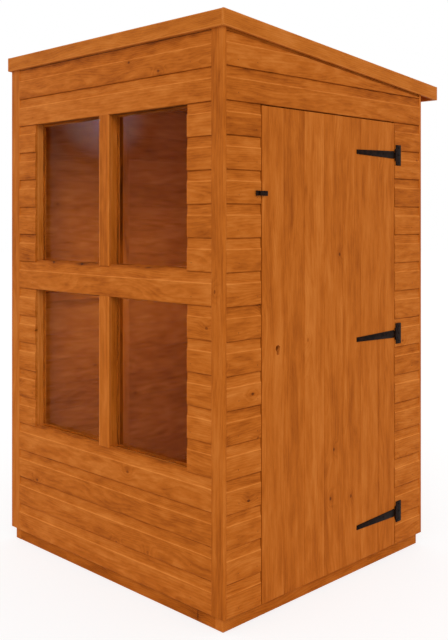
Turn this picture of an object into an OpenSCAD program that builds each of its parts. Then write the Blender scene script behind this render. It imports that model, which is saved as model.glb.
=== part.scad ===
// Pent-roofed timber summerhouse: shiplap walls on a joisted floor, four fixed panes in the
// high front wall, and a ledged door on T-hinges in the right side wall.
// The front faces -Y, the door faces +X, the ground is z = 0, and the origin lies under the
// middle of the roof.

/* [Walls] */
// Width over the side cladding
wall_w = 1297; // [1000:1:2400]
// Depth over the front and back cladding
wall_d = 1185; // [1160:1:2400]
// Height of the cladding's lower edge above the ground
skirt_z = 48; // [38:1:60]
// Height that one cladding board covers
board_cover = 115; // [95:1:125]
// Thickness of the cladding and of the corner trims
clad_t = 12; // [8:1:20]
// Width of a corner trim
trim_w = 60; // [40:1:90]
// Depth of the wall framing, behind the cladding
frame_d = 38; // [34:1:70]
// Width of a stud or rail
stud_w = 38; // [27:1:50]

/* [Windows] */
// Distance from each corner to the window opening
window_side = 181; // [150:1:260]
// Boards below the lower windows
sill_boards = 4; // [2:1:6]
// Boards below the band between the windows
band_boards = 9; // [8:1:11]
// Boards below the heads of the upper windows and of the door
head_boards = 15; // [14:1:15]
// Width of a mullion
mullion_w = 60; // [44:1:90]
// Distance from the wall's outer face to the glass
glass_setback = 37; // [20:1:40]
// Thickness of the glass
glass_t = 4; // [3:1:5]
// Gap around each pane
glass_gap = 0.5; // [0.3:0.1:1]
// Width of the beads that hold the glass from inside
bead_w = 8; // [6:1:15]

/* [Floor] */
// Height of the floor joists
joist_h = 50; // [40:1:75]
// Thickness of the floor joists and rims
joist_t = 38; // [27:1:50]
// Number of floor joists
joist_count = 5; // [3:1:7]
// Thickness of the floor boards
floor_t = 12; // [10:1:20]
// Clearance between the floor's edges and the side cladding and door
floor_gap_x = 5; // [5:1:20]
// Clearance between the floor's edges and the front and back cladding
floor_gap_y = 1; // [0.5:0.5:20]

/* [Roof] */
// Height of the roof's front edge
front_h = 2072; // [2020:1:2400]
// Fall of the roof towards the back, in degrees
roof_fall = 5.5; // [2:0.1:7]
// Distance that the roof runs past the back wall
back_eave = 96; // [20:1:200]
// Thickness of the roof boards
roof_t = 12; // [9:1:20]
// Thickness of the mineral felt
felt_t = 2; // [1:0.5:4]
// Depth of the fascia boards
fascia_h = 57; // [45:1:90]
// Thickness of the fascia boards
fascia_t = 12; // [8:1:20]
// Height of the fascia above the felt
fascia_lip = 2; // [0:0.5:4]
// Joint between the roof boards and the framing and cladding under them
roof_joint = 0.1; // [0.1:0.1:1]
// Height of the roof purlins
purlin_h = 44; // [34:1:70]
// Distance of each purlin from the middle of the walls
purlin_y = 190; // [120:1:300]

/* [Door] */
// Distance from the front corner to the door opening
door_side = 181; // [160:1:260]
// Width of the door leaf
door_w = 800; // [600:1:850]
// Gap around the door leaf
door_gap = 5; // [3:1:8]
// Width and depth of the door stops
stop_w = 20; // [15:1:25]
// Clearance between the door leaf and its stops
stop_gap = 5; // [5:1:8]
// Height of a door ledge
ledge_h = 95; // [80:1:140]
// Thickness of a door ledge
ledge_t = 20; // [14:1:20]
// Joint between the top stop and the side stops
stop_joint = 0.5; // [0.3:0.1:1]
// Clearance between the ends of the ledges and the stops
ledge_gap = 8; // [6:1:20]
// Width of a door brace, measured level
brace_w = 110; // [80:1:150]

/* [Hinges] */
// Distance from the top and bottom of the door to its outer hinges
hinge_edge = 130; // [90:1:250]
// Distance from the wall's outer face to the hinge pin
hinge_off = 5; // [5:0.5:8]
// Radius of the hinge barrels
barrel_r = 4; // [3.5:0.1:4.5]
// Radius of the hinge pins
pin_r = 1.8; // [1.5:0.1:2.2]
// Clearance around the hinge pins and between their knuckles
pin_gap = 0.3; // [0.2:0.1:0.6]
// Thickness of the hinge metal
hinge_t = 2.5; // [2:0.5:3]
// Length of a hinge strap
strap_len = 260; // [200:1:400]
// Height of a hinge strap at the pin
strap_root = 31; // [26:1:45]
// Height of a hinge strap at its tip
strap_tip = 17; // [12:1:25]
// Width of a hinge plate on the wall
plate_w = 42; // [30:1:60]
// Height of a hinge plate on the wall
plate_h = 84; // [70:1:120]
// Height of the strap's knuckle
strap_knuckle = 20; // [14:1:24]
// Height of each of the plate's knuckles
plate_knuckle = 14; // [10:1:20]

/* [Hasp and lock] */
// Distance from the top of the opening to the hasp
hasp_drop = 308; // [200:1:500]
// Height of the hasp
hasp_h = 17; // [17:1:30]
// Length of the hasp strap from its pin
hasp_len = 43; // [37:1:60]
// Width of the hasp's fixed plate
hasp_plate_w = 22; // [16:1:40]
// Distance from the door's edge to the hasp pin
hasp_edge = 6; // [5:1:12]
// Distance from the hasp pin to the staple
staple_reach = 24; // [22:1:26]
// Width of the rim lock's case
lock_w = 90; // [70:1:120]
// Height of the rim lock's case
lock_h = 75; // [50:1:80]
// Depth of the rim lock's case
lock_t = 20; // [14:1:22]
// Height of the lock's keep
keep_h = 60; // [40:1:75]
// Depth of the lock's keep
keep_t = 15; // [10:1:18]

/* [Hidden] */

timber = "#b9642a";
framing = "#b06a35";
black_metal = "#1c1a19";
curve_fn = 48;
// Distance that a cutting shape runs past the faces it cuts
past = 1;

// Outer faces of the walls, and faces set in from them
x_out = wall_w / 2;
x_clad = x_out - clad_t;
x_room = x_clad - frame_d;
// The roof reaches one fascia past the front wall and back_eave + fascia_t past the back one.
y_shift = -back_eave / 2;
y_front = y_shift - wall_d / 2;
y_back = y_front + wall_d;
y_front_clad = y_front + clad_t;
y_front_room = y_front_clad + frame_d;
y_back_clad = y_back - clad_t;
y_back_room = y_back_clad - frame_d;
// Edges of the floor
floor_x = x_clad - floor_gap_x;
floor_y0 = y_front_clad + floor_gap_y;
floor_y1 = y_back_clad - floor_gap_y;

// Heights
floor_z = joist_h + floor_t;
rail_top = floor_z + stud_w;
sill_z = skirt_z + sill_boards * board_cover;
band_z = skirt_z + band_boards * board_cover;
band_top = band_z + board_cover;
head_z = skirt_z + head_boards * board_cover;

// Roof planes, as heights at a given y
y_eave_front = y_front - fascia_t;
y_eave_back = y_back + back_eave;
function roof_edge(y) = front_h - (y - y_eave_front) * tan(roof_fall);
function felt_top(y) = roof_edge(y) - fascia_lip;
function board_top(y) = felt_top(y) - felt_t / cos(roof_fall);
function roof_under(y) = board_top(y) - roof_t / cos(roof_fall);
function wall_top(y) = roof_under(y) - roof_joint;
stud_drop = stud_w + roof_joint;

// Windows
window_x = x_out - window_side;
pane_front = y_front + glass_setback;
pane_back = pane_front + glass_t;

// Door opening and leaf
door_y0 = y_front + door_side;
door_y1 = door_y0 + door_w + 2 * door_gap;
leaf_y0 = door_y0 + door_gap;
leaf_y1 = door_y1 - door_gap;
leaf_z0 = skirt_z;
leaf_z1 = head_z - door_gap;
stop_x1 = x_clad - stop_gap;
stop_x0 = stop_x1 - stop_w;
ledge_x0 = x_clad - ledge_t;
ledge_y0 = door_y0 + stop_w + ledge_gap;
ledge_y1 = door_y1 - stop_w - ledge_gap;
ledge_zs = [leaf_z0 + hinge_edge, (leaf_z0 + leaf_z1) / 2, leaf_z1 - hinge_edge];

// Hinges: the pins stand over the middle of the gap at the door's back edge.
pin_x = x_out + hinge_off;
pin_y = door_y1 - door_gap / 2;
tab_clear = 2;
tab_w = barrel_r + tab_clear;
hinge_pin_h = strap_knuckle + 2 * plate_knuckle + 2 * pin_gap;

// Hasp
hasp_z = head_z - hasp_drop;
hasp_t = 2;
hasp_r = 3;
hasp_pin_r = 1.2;
hasp_off = 4;
hasp_x = x_out + hasp_off;
hasp_tab = hasp_r + 1;
hasp_y = leaf_y0 + hasp_edge;
hasp_knuckle = hasp_h / 3;
hasp_strap_x = hasp_x + hasp_r - hasp_t;
staple_y = hasp_y - staple_reach;
staple_t = 3;
staple_h = 9;
staple_out = 11.5;
staple_base = 16;
staple_base_t = 1.5;
eye_r = 1.8;
eye_wall = 1;
eye_x = x_out + staple_out - eye_r - eye_wall;
slot_near_gap = 2;
slot_far_gap = 5.5;
slot_side_gap = 1.5;
slot_near = staple_reach - staple_t / 2 - slot_near_gap;
slot_far = staple_reach + staple_t / 2 + slot_far_gap;
slot_h = staple_h + 2 * slot_side_gap;

// ---- Shapes shared by the pieces ----

// A block between two corners
module block(a, b) {
    translate(a) cube(b - a);
}

// An outline in Y and Z, drawn from x0 to x1
module profile_x(x0, x1, outline) {
    translate([x0, 0, 0]) rotate([90, 0, 90]) linear_extrude(x1 - x0) polygon(outline);
}

// A block whose top follows the slope of the walls' tops, lowered by drop
module to_roof(x0, x1, y0, y1, z0, drop = 0) {
    profile_x(x0, x1, [
        [y0, z0],
        [y1, z0],
        [y1, wall_top(y1) - drop],
        [y0, wall_top(y0) - drop]
    ]);
}

// A rail that follows the slope of the walls' tops
module roof_rail(x0, x1, y0, y1, height) {
    profile_x(x0, x1, [
        [y0, wall_top(y0) - height],
        [y1, wall_top(y1) - height],
        [y1, wall_top(y1)],
        [y0, wall_top(y0)]
    ]);
}

// A sloping sheet or board between two depths below the roof edge
module roof_sheet(x0, x1, y0, y1, depth0, depth1) {
    profile_x(x0, x1, [
        [y0, roof_edge(y0) - depth1],
        [y1, roof_edge(y1) - depth1],
        [y1, roof_edge(y1) - depth0],
        [y0, roof_edge(y0) - depth0]
    ]);
}

// ---- Floor ----

module floor_joists() {
    pitch = (floor_y1 - floor_y0 - joist_t) / (joist_count - 1);
    half = floor_x - joist_t;
    color(timber)
        for (i = [0 : joist_count - 1]) {
            y = floor_y0 + i * pitch;
            block([-half, y, 0], [half, y + joist_t, joist_h]);
        }
}

module floor_rims() {
    color(timber)
        for (side = [0, 1])
            mirror([side, 0, 0])
                block([floor_x - joist_t, floor_y0, 0], [floor_x, floor_y1, joist_h]);
}

module floor_boards() {
    color(timber) block([-floor_x, floor_y0, joist_h], [floor_x, floor_y1, floor_z]);
}

// ---- Cladding and trims ----

module front_cladding_lower() {
    half = x_out - trim_w;
    color(timber) block([-half, y_front, skirt_z], [half, y_front_clad, sill_z]);
}

module front_cladding_sides() {
    color(timber)
        for (side = [0, 1])
            mirror([side, 0, 0])
                block([window_x, y_front, sill_z], [x_out - trim_w, y_front_clad, head_z]);
}

module front_cladding_band() {
    color(timber) block([-window_x, y_front, band_z], [window_x, y_front_clad, band_top]);
}

module front_cladding_upper() {
    half = x_out - trim_w;
    color(timber) to_roof(-half, half, y_front, y_front_clad, head_z);
}

module right_cladding_front() {
    color(timber) block([x_clad, y_front_clad, skirt_z], [x_out, door_y0, head_z]);
}

module right_cladding_back() {
    color(timber) block([x_clad, door_y1, skirt_z], [x_out, y_back_clad, head_z]);
}

module right_cladding_head() {
    color(timber) to_roof(x_clad, x_out, y_front_clad, y_back_clad, head_z);
}

module left_cladding() {
    color(timber) to_roof(-x_out, -x_clad, y_front_clad, y_back_clad, skirt_z);
}

module back_cladding() {
    half = x_out - trim_w;
    color(timber) to_roof(-half, half, y_back_clad, y_back, skirt_z);
}

// The two corner trims of one wall
module trims(y0, y1) {
    color(timber)
        for (side = [0, 1])
            mirror([side, 0, 0]) to_roof(x_out - trim_w, x_out, y0, y1, skirt_z);
}

module front_trims() {
    trims(y_front, y_front_clad);
}

module back_trims() {
    trims(y_back_clad, y_back);
}

// ---- Front wall framing and windows ----

module front_studs() {
    color(framing)
        for (side = [0, 1])
            mirror([side, 0, 0])
                for (x = [window_x, x_clad - stud_w])
                    to_roof(x, x + stud_w, y_front_clad, y_front_room, rail_top, stud_drop);
}

module front_rails() {
    color(framing) {
        block([-x_clad, y_front_clad, floor_z], [x_clad, y_front_room, rail_top]);
        for (z = [sill_z - stud_w, band_z, band_top - stud_w, head_z])
            block([-window_x, y_front_clad, z], [window_x, y_front_room, z + stud_w]);
        roof_rail(-x_clad, x_clad, y_front_clad, y_front_room, stud_w);
    }
}

module window_mullions() {
    half = mullion_w / 2;
    color(timber)
        for (span = [[sill_z, band_z], [band_top, head_z]])
            block([-half, y_front, span[0]], [half, y_front_room, span[1]]);
}

// A ring of beads behind one pane
module bead_ring(x0, x1, z0, z1) {
    difference() {
        block([x0, pane_back, z0], [x1, y_front_room, z1]);
        block([x0 + bead_w, pane_back - past, z0 + bead_w],
              [x1 - bead_w, y_front_room + past, z1 - bead_w]);
    }
}

module glazing_beads() {
    half = mullion_w / 2;
    color(timber)
        for (span = [[sill_z, band_z], [band_top, head_z]])
            for (side = [0, 1])
                mirror([side, 0, 0]) bead_ring(half, window_x, span[0], span[1]);
}

// One pane: side is 1 for the left of the front and 0 for the right
module pane(side, z0, z1) {
    half = mullion_w / 2;
    color("lightsteelblue", 0.4)
        mirror([side, 0, 0])
            block([half + glass_gap, pane_front, z0 + glass_gap],
                  [window_x - glass_gap, pane_back, z1 - glass_gap]);
}

module lower_left_glass() {
    pane(1, sill_z, band_z);
}

module lower_right_glass() {
    pane(0, sill_z, band_z);
}

module upper_left_glass() {
    pane(1, band_top, head_z);
}

module upper_right_glass() {
    pane(0, band_top, head_z);
}

// ---- Side and back wall framing ----

module right_studs() {
    color(framing) {
        for (y = [y_front_room, door_y0 - stud_w, door_y1, y_back_room - stud_w])
            to_roof(x_room, x_clad, y, y + stud_w, rail_top, stud_drop);
        middle = (door_y0 + door_y1 - stud_w) / 2;
        to_roof(x_room, x_clad, middle, middle + stud_w, head_z + stud_w, stud_drop);
    }
}

module right_rails() {
    color(framing) {
        block([x_room, y_front_room, floor_z], [x_clad, door_y0, rail_top]);
        block([x_room, door_y1, floor_z], [x_clad, y_back_room, rail_top]);
        block([x_room, door_y0, head_z], [x_clad, door_y1, head_z + stud_w]);
        roof_rail(x_room, x_clad, y_front_room, y_back_room, stud_w);
    }
}

module left_studs() {
    middle = (y_front_room + y_back_room - stud_w) / 2;
    color(framing)
        for (y = [y_front_room, middle, y_back_room - stud_w])
            to_roof(-x_clad, -x_room, y, y + stud_w, rail_top, stud_drop);
}

module left_rails() {
    middle = (y_front_room + y_back_room - stud_w) / 2;
    waist = (rail_top + wall_top(middle) - stud_w - stud_drop) / 2;
    color(framing) {
        block([-x_clad, y_front_room, floor_z], [-x_room, y_back_room, rail_top]);
        block([-x_clad, y_front_room + stud_w, waist], [-x_room, middle, waist + stud_w]);
        block([-x_clad, middle + stud_w, waist],
              [-x_room, y_back_room - stud_w, waist + stud_w]);
        roof_rail(-x_clad, -x_room, y_front_room, y_back_room, stud_w);
    }
}

module back_studs() {
    color(framing)
        for (x = [-x_clad, -stud_w / 2, x_clad - stud_w])
            to_roof(x, x + stud_w, y_back_room, y_back_clad, rail_top, stud_drop);
}

module back_rails() {
    waist = (rail_top + wall_top(y_back_room) - stud_w - stud_drop) / 2;
    color(framing) {
        block([-x_clad, y_back_room, floor_z], [x_clad, y_back_clad, rail_top]);
        for (side = [0, 1])
            mirror([side, 0, 0])
                block([stud_w / 2, y_back_room, waist],
                      [x_clad - stud_w, y_back_clad, waist + stud_w]);
        roof_rail(-x_clad, x_clad, y_back_room, y_back_clad, stud_w);
    }
}

// ---- Roof ----

module roof_purlins() {
    color(framing)
        for (y = [-purlin_y, purlin_y])
            roof_rail(-x_room, x_room, y_shift + y - stud_w / 2, y_shift + y + stud_w / 2, purlin_h);
}

module roof_boards() {
    depth0 = fascia_lip + felt_t / cos(roof_fall);
    color(timber)
        roof_sheet(-x_out, x_out, y_front, y_eave_back, depth0, depth0 + roof_t / cos(roof_fall));
}

module roof_felt() {
    color("#4a4f4c")
        roof_sheet(-x_out, x_out, y_front, y_eave_back,
                   fascia_lip, fascia_lip + felt_t / cos(roof_fall));
}

module front_fascia() {
    color(timber) roof_sheet(-x_out, x_out, y_eave_front, y_front, 0, fascia_h);
}

module back_fascia() {
    half = x_out + fascia_t;
    color(timber) roof_sheet(-half, half, y_eave_back, y_eave_back + fascia_t, 0, fascia_h);
}

module side_fascias() {
    color(timber)
        for (side = [0, 1])
            mirror([side, 0, 0])
                roof_sheet(x_out, x_out + fascia_t, y_eave_front, y_eave_back, 0, fascia_h);
}

// ---- Door ----

module door_stops() {
    inset = stop_w + stop_joint;
    color(framing) {
        block([stop_x0, door_y0, floor_z], [stop_x1, door_y0 + stop_w, head_z]);
        block([stop_x0, door_y1 - stop_w, floor_z], [stop_x1, door_y1, head_z]);
        block([stop_x0, door_y0 + inset, head_z - stop_w], [stop_x1, door_y1 - inset, head_z]);
    }
}

module door_boards() {
    color(timber) block([x_clad, leaf_y0, leaf_z0], [x_out, leaf_y1, leaf_z1]);
}

module door_ledges() {
    color(timber)
        for (z = ledge_zs)
            block([ledge_x0, ledge_y0, z - ledge_h / 2], [x_clad, ledge_y1, z + ledge_h / 2]);
}

// Each brace rises from the hinge side to the closing side.
module door_braces() {
    color(timber)
        for (i = [0, 1]) {
            z0 = ledge_zs[i] + ledge_h / 2;
            z1 = ledge_zs[i + 1] - ledge_h / 2;
            profile_x(ledge_x0, x_clad, [
                [ledge_y1, z0],
                [ledge_y0 + brace_w, z1],
                [ledge_y0, z1],
                [ledge_y1 - brace_w, z0]
            ]);
        }
}

// ---- Hinges ----

// A knuckle around the pin's line, between two heights
module knuckle(z0, z1, bore) {
    translate([pin_x, pin_y, z0])
        difference() {
            cylinder(h = z1 - z0, r = barrel_r, $fn = curve_fn);
            translate([0, 0, -past]) cylinder(h = z1 - z0 + 2 * past, r = bore, $fn = curve_fn);
        }
}

// Plate, two knuckles and the pin that stands in them
module hinge_plate(z) {
    inner = strap_knuckle / 2 + pin_gap;
    outer = inner + plate_knuckle;
    block([x_out, pin_y + tab_w, z - plate_h / 2],
          [x_out + hinge_t, pin_y + plate_w, z + plate_h / 2]);
    for (z0 = [z - outer, z + inner]) {
        translate([pin_x, pin_y, z0]) cylinder(h = plate_knuckle, r = barrel_r, $fn = curve_fn);
        block([x_out, pin_y, z0], [x_out + hinge_t, pin_y + tab_w, z0 + plate_knuckle]);
    }
    translate([pin_x, pin_y, z - hinge_pin_h / 2])
        cylinder(h = hinge_pin_h, r = pin_r, $fn = curve_fn);
}

module hinge_plates() {
    color(black_metal)
        for (z = ledge_zs) hinge_plate(z);
}

// Tapering strap with its knuckle
module hinge_strap(z) {
    half = strap_knuckle / 2;
    profile_x(x_out, x_out + hinge_t, [
        [pin_y - tab_w, z - strap_root / 2],
        [pin_y - tab_w, z + strap_root / 2],
        [pin_y - strap_len, z + strap_tip / 2],
        [pin_y - strap_len, z - strap_tip / 2]
    ]);
    block([x_out, pin_y - tab_w, z - half], [x_out + hinge_t, pin_y, z + half]);
    knuckle(z - half, z + half, pin_r + pin_gap);
}

module hinge_straps() {
    color(black_metal)
        for (z = ledge_zs) hinge_strap(z);
}

// ---- Hasp, staple and lock ----

// Fixed plate on the door, with the outer two knuckles and the pin
module hasp_plate() {
    z0 = hasp_z - hasp_h / 2;
    color(black_metal) {
        block([x_out, hasp_y + hasp_tab, z0],
              [x_out + hasp_t, hasp_y + hasp_plate_w, z0 + hasp_h]);
        for (z = [z0, z0 + 2 * hasp_knuckle]) {
            translate([hasp_x, hasp_y, z]) cylinder(h = hasp_knuckle, r = hasp_r, $fn = curve_fn);
            block([x_out, hasp_y, z],
                  [x_out + hasp_t, hasp_y + hasp_tab, z + hasp_knuckle]);
        }
        translate([hasp_x, hasp_y, z0]) cylinder(h = hasp_h, r = hasp_pin_r, $fn = curve_fn);
    }
}

// Hinged strap whose slot drops over the staple
module hasp_strap() {
    half = hasp_knuckle / 2 - pin_gap;
    color(black_metal)
        difference() {
            union() {
                translate([hasp_x, hasp_y, hasp_z - half])
                    cylinder(h = 2 * half, r = hasp_r, $fn = curve_fn);
                block([hasp_strap_x, hasp_y - hasp_tab, hasp_z - half],
                      [hasp_strap_x + hasp_t, hasp_y, hasp_z + half]);
                block([hasp_strap_x, hasp_y - hasp_len, hasp_z - hasp_h / 2],
                      [hasp_strap_x + hasp_t, hasp_y - hasp_tab, hasp_z + hasp_h / 2]);
            }
            translate([hasp_x, hasp_y, hasp_z - hasp_h])
                cylinder(h = 2 * hasp_h, r = hasp_pin_r + pin_gap, $fn = curve_fn);
            block([x_out, hasp_y - slot_far, hasp_z - slot_h / 2],
                  [x_out + staple_out, hasp_y - slot_near, hasp_z + slot_h / 2]);
        }
}

module hasp_staple() {
    half = staple_base / 2;
    color(black_metal)
        difference() {
            union() {
                block([x_out, staple_y - half, hasp_z - half],
                      [x_out + staple_base_t, staple_y + half, hasp_z + half]);
                block([x_out, staple_y - staple_t / 2, hasp_z - staple_h / 2],
                      [x_out + staple_out, staple_y + staple_t / 2, hasp_z + staple_h / 2]);
            }
            translate([eye_x, staple_y, hasp_z]) rotate([90, 0, 0])
                cylinder(h = 2 * staple_t, r = eye_r, center = true, $fn = curve_fn);
        }
}

module rim_lock() {
    z = ledge_zs[1];
    color(black_metal)
        block([ledge_x0 - lock_t, ledge_y0, z - lock_h / 2],
              [ledge_x0, ledge_y0 + lock_w, z + lock_h / 2]);
}

module lock_keep() {
    z = ledge_zs[1];
    color(black_metal)
        block([stop_x0 - keep_t, door_y0, z - keep_h / 2],
              [stop_x0, door_y0 + stop_w, z + keep_h / 2]);
}

floor_joists();
floor_rims();
floor_boards();
front_cladding_lower();
front_cladding_sides();
front_cladding_band();
front_cladding_upper();
right_cladding_front();
right_cladding_back();
right_cladding_head();
left_cladding();
back_cladding();
front_trims();
back_trims();
front_studs();
front_rails();
window_mullions();
glazing_beads();
lower_left_glass();
lower_right_glass();
upper_left_glass();
upper_right_glass();
right_studs();
right_rails();
left_studs();
left_rails();
back_studs();
back_rails();
door_stops();
hinge_plates();
hasp_staple();
lock_keep();
roof_purlins();
roof_boards();
roof_felt();
front_fascia();
back_fascia();
side_fascias();
door_boards();
door_ledges();
door_braces();
hinge_straps();
hasp_plate();
rim_lock();
hasp_strap();
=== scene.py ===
"""Looks of the pent-roofed timber summerhouse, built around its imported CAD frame.

The front faces -Y, the door faces +X and the ground is z = 0. Every timber is rebuilt as a board
with its own arrises, grain and tone. The four panes keep their CAD solids.
"""
import math
import random

import bmesh
import bpy
from mathutils import Matrix, Vector, noise
from mathutils.kdtree import KDTree


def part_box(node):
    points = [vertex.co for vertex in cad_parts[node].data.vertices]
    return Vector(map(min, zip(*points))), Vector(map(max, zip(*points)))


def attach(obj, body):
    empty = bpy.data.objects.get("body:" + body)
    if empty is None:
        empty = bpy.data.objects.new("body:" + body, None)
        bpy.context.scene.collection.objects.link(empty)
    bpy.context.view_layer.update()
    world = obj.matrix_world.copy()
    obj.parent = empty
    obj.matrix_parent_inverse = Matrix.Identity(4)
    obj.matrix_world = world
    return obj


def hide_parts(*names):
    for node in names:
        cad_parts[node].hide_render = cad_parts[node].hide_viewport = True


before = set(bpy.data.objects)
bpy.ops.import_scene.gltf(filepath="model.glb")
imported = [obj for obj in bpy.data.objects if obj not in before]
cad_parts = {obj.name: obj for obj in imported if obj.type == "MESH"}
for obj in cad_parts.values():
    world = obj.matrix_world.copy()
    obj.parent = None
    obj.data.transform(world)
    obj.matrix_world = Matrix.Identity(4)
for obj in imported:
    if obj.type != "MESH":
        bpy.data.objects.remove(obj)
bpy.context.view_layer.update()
SEED = 11
DRAW = random.Random(SEED)
noise.seed_set(SEED)
MM = 0.001
X, Y, Z = Vector((1, 0, 0)), Vector((0, 1, 0)), Vector((0, 0, 1))


# ---- Camera ----

def make_camera():
    """The camera that was fitted to the photo. It looks level, so that uprights stay upright, and
    its frame is shifted down."""
    data = bpy.data.cameras.new("camera")
    data.sensor_fit = "VERTICAL"
    data.sensor_height = 36
    data.lens = 49.95
    data.shift_y = -0.1568
    camera = bpy.data.objects.new("camera", data)
    camera.location = (2.717, -2.716, 1.374)
    camera.rotation_euler = Vector((-0.7059, 0.7083, 0)).to_track_quat("-Z", "Y").to_euler()
    bpy.context.scene.collection.objects.link(camera)
    bpy.context.scene.camera = camera


make_camera()


# ---- Places, read from the frame ----

def low(node):
    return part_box(node)[0]


def high(node):
    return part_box(node)[1]


X_OUT = high("right_cladding_front").x
X_CLAD = low("right_cladding_front").x
Y_FRONT, Y_BACK = low("front_trims").y, high("back_trims").y
Y_FRONT_CLAD, Y_BACK_CLAD = high("front_trims").y, low("back_trims").y
CLAD = X_OUT - X_CLAD
SKIRT = low("front_cladding_lower").z
SILL = high("front_cladding_lower").z
BAND, BAND_TOP = low("front_cladding_band").z, high("front_cladding_band").z
HEAD = low("front_cladding_upper").z
COVER = BAND_TOP - BAND
TRIM_X = high("front_cladding_lower").x
WINDOW_X = high("front_cladding_band").x
DOOR_Y0, DOOR_Y1 = high("right_cladding_front").y, low("right_cladding_back").y
SILL_ROW = round((SILL - SKIRT) / COVER)
BAND_ROW = round((BAND - SKIRT) / COVER)
HEAD_ROW = round((HEAD - SKIRT) / COVER)
TOP_ROW = HEAD_ROW + 2

# The roof falls by FALL metres for each metre towards the back.
Y_EAVE_FRONT, Y_EAVE_BACK = low("side_fascias").y, high("side_fascias").y
FALL = (low("front_fascia").z - low("side_fascias").z) / (Y_EAVE_BACK - high("front_fascia").y)
FASCIA_LOW = low("front_fascia").z + FALL * (Y_FRONT - Y_EAVE_FRONT)
SLOPE = Vector((0, 1, -FALL))
WALL_TOP = high("left_cladding").z + FALL * (Y_FRONT_CLAD - Y_EAVE_FRONT)


def under(height, y):
    """The height at y of a plane that falls with the roof from `height` over the front eave."""
    return height - FALL * (y - Y_EAVE_FRONT)


# ---- Mesh kit ----

SHARP = math.radians(38)
FLAT = math.radians(1)
WELD = 1e-6
CLOSE = 0.1 * MM
NEW_CORNER = 0.01 * MM
MITRE_LIMIT = 0.4
WEAR_REACH = 3 * MM
END_WEAR = 0.3
SWAY_RATE = 7

# Where a timber was cut from its log: how far along, and how far from the pith.
LOG_LENGTH = 60
PITH_ASIDE = 0.04
PITH_NEAR, PITH_FAR = 0.035, 0.1


def axes(along, across, through, origin=(0, 0, 0)):
    """The frame of a timber: its grain, its width and its thickness."""
    return Matrix.Translation(origin) @ Matrix((along, across, through)).transposed().to_4x4()


def shrunk(outline, by):
    """An anticlockwise outline moved in by a distance."""
    moved = []
    for i, (a, t, stain_wear_and_shading) in enumerate(outline):
        before, after = outline[i - 1], outline[(i + 1) % len(outline)]
        d1 = Vector((a - before[0], t - before[1])).normalized()
        d2 = Vector((after[0] - a, after[1] - t)).normalized()
        n1, n2 = Vector((-d1.y, d1.x)), Vector((-d2.y, d2.x))
        shift = (n1 + n2) * (by / max(1 + n1.dot(n2), MITRE_LIMIT))
        moved.append((a + shift.x, t + shift.y, stain_wear_and_shading))
    return moved


def faded(outline, reach):
    """Adds points at `reach` from both ends of each long side, where an arris stops being worn."""
    points = []
    for i, (a, t, stain_wear_and_shading) in enumerate(outline):
        b, u, _ = outline[(i + 1) % len(outline)]
        points.append((a, t, stain_wear_and_shading))
        side = math.hypot(b - a, u - t)
        if side > 3 * reach:
            for share in (reach / side, 1 - reach / side):
                points.append((a + (b - a) * share, t + (u - t) * share, 0))
    return points


def rounded(width, depth, arris, turns=2, worn=1.0):
    """A rectangle from (0, 0) with rounded arrises, which carry the wear. A worn below 0 paints
    shade instead.
    """
    corners = ((width - arris, depth - arris), (arris, depth - arris), (arris, arris),
               (width - arris, arris))
    points = []
    for quarter, (a, t) in enumerate(corners):
        for i in range(turns + 1):
            angle = math.pi / 2 * (quarter + i / turns)
            points.append((a + arris * math.cos(angle), t + arris * math.sin(angle), worn))
    return faded(points, WEAR_REACH)


def circle(radius, sides=20):
    """A round outline without wear."""
    turn = 2 * math.pi / sides
    return [(radius * math.cos(i * turn), radius * math.sin(i * turn), 0) for i in range(sides)]


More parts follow.
